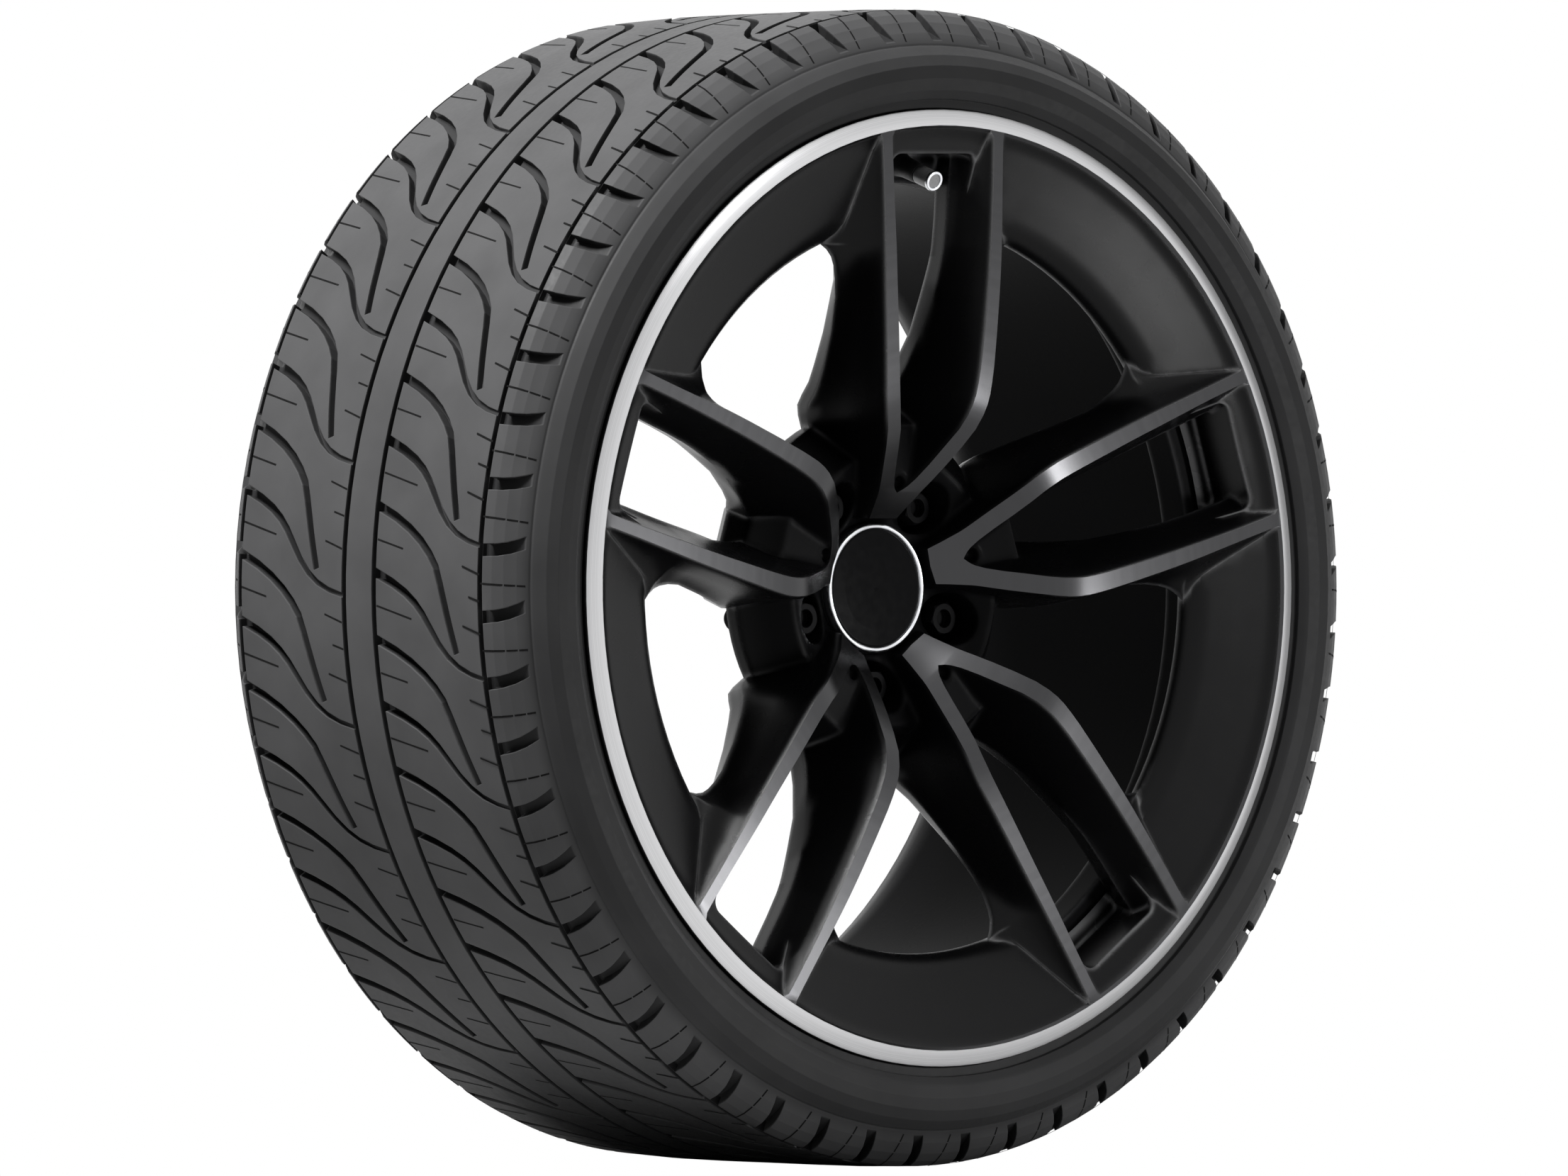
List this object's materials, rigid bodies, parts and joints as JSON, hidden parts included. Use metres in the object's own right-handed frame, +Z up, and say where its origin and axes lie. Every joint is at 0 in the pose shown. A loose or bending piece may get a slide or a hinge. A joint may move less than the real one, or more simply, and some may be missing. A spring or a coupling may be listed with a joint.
{
  "type": "car wheel",
  "caption": "Alloy car wheel with twin spokes, low-profile tyre, ball-seat bolts, clip-in centre cap and snap-in valve.",
  "frame": {"origin": "centre of the wheel, midway between its two sides on the spin axis", "axes": "+Y along the spin axis from the outboard face to the inboard side, +Z up with the valve at the top"},
  "size_m": [0.6562, 0.2718, 0.6562],
  "materials": {
    "alloy_black": "gloss black paint with machined faces",
    "tyre_rubber": "satin rubber",
    "black_plastic": "matt moulded plastic",
    "chrome": "bright chrome",
    "gloss_black": "gloss black plastic",
    "spring_steel": "drawn wire",
    "valve_rubber": "matt rubber",
    "brass": "nickelled brass",
    "red_seal": "matt rubber",
    "bolt_steel": "black coated steel",
    "machined_face": "fine turned metal, toned dark",
    "machined_lip": "bright turned metal"
  },
  "bodies": {
    "wheel": {"alloy_wheel": "alloy_black", "tyre": "tyre_rubber", "cap_body": "black_plastic", "cap_ring": "chrome", "cap_disc": "gloss_black", "cap_spring": "spring_steel", "valve_body": "valve_rubber", "valve_stem": "brass", "valve_core": "brass", "valve_core_seal": "red_seal", "valve_spring": "spring_steel", "wheel_bolt_1": "bolt_steel", "wheel_bolt_2": "bolt_steel", "wheel_bolt_3": "bolt_steel", "wheel_bolt_4": "bolt_steel", "wheel_bolt_5": "bolt_steel"},
    "core_pin": {"valve_pin": "brass"},
    "cap_carrier": {"valve_cap_seal": "valve_rubber"},
    "cap_shell": {"valve_cap": "black_plastic", "valve_cap_ring": "chrome"}
  },
  "joints": [
    {"name": "pin_press", "type": "slide", "parent": "wheel", "child": "core_pin", "axis": [0, 0.9478, 0.319], "range_m": [0, 0.0012], "stiffness_N_per_m": 400, "springref_m": -0.002, "deforming": ["valve_spring"]},
    {"name": "cap_lift", "type": "slide", "parent": "wheel", "child": "cap_carrier", "axis": [0, -0.9478, -0.319], "range_m": [0, 0.00794]},
    {"name": "cap_turn", "type": "hinge", "parent": "cap_carrier", "child": "cap_shell", "pos_m": [0, -0.12832, 0.23052], "axis": [0, -0.9478, -0.319], "range_deg": [0, 3600]}
  ],
  "couplings": [
    {"joint": "cap_turn", "follows": "cap_lift", "rad_per_m": 7913.3}
  ]
}
